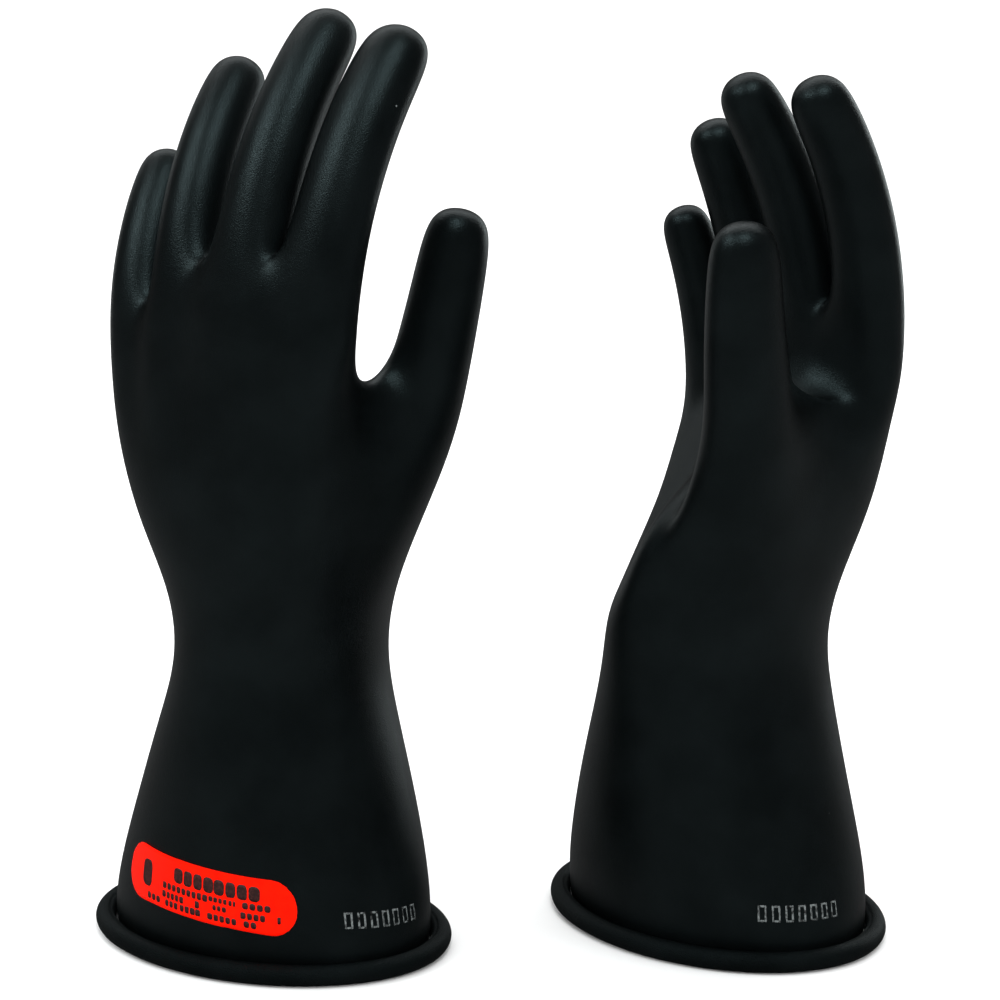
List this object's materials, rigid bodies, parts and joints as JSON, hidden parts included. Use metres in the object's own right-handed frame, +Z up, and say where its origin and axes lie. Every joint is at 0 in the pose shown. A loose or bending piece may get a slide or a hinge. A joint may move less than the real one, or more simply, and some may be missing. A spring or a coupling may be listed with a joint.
{
  "type": "pair of electrical insulating gloves",
  "caption": "Pair of black dipped-rubber electrical insulating gloves with straight cuffs, rolled beads and orange class labels, standing on their cuffs.",
  "frame": {"origin": "middle of the footprint of the standing pair, on the ground plane that both cuffs rest on", "axes": "+Z up through the fingers, -Y towards the front of the pair, left glove on the -X side and right glove on the +X side"},
  "size_m": [0.2452, 0.12, 0.2803],
  "materials": {
    "left_rubber": "satin black dipped natural rubber",
    "left_bead_rubber": "satin black rubber, rolled",
    "left_label": "flat orange-red vulcanised label",
    "right_rubber": "satin black dipped natural rubber",
    "right_bead_rubber": "satin black rubber, rolled",
    "right_label": "flat orange-red vulcanised label"
  },
  "bodies": {
    "left_glove": {"left_glove_shell": "left_rubber", "left_cuff_bead": "left_bead_rubber", "left_label": "left_label"},
    "right_glove": {"right_glove_shell": "right_rubber", "right_cuff_bead": "right_bead_rubber", "right_label": "right_label"}
  },
  "joints": [
    {"name": "right_glove_lift", "type": "slide", "parent": "left_glove", "child": "right_glove", "axis": [0, 0, 1], "range_m": [0, 0.3]}
  ]
}
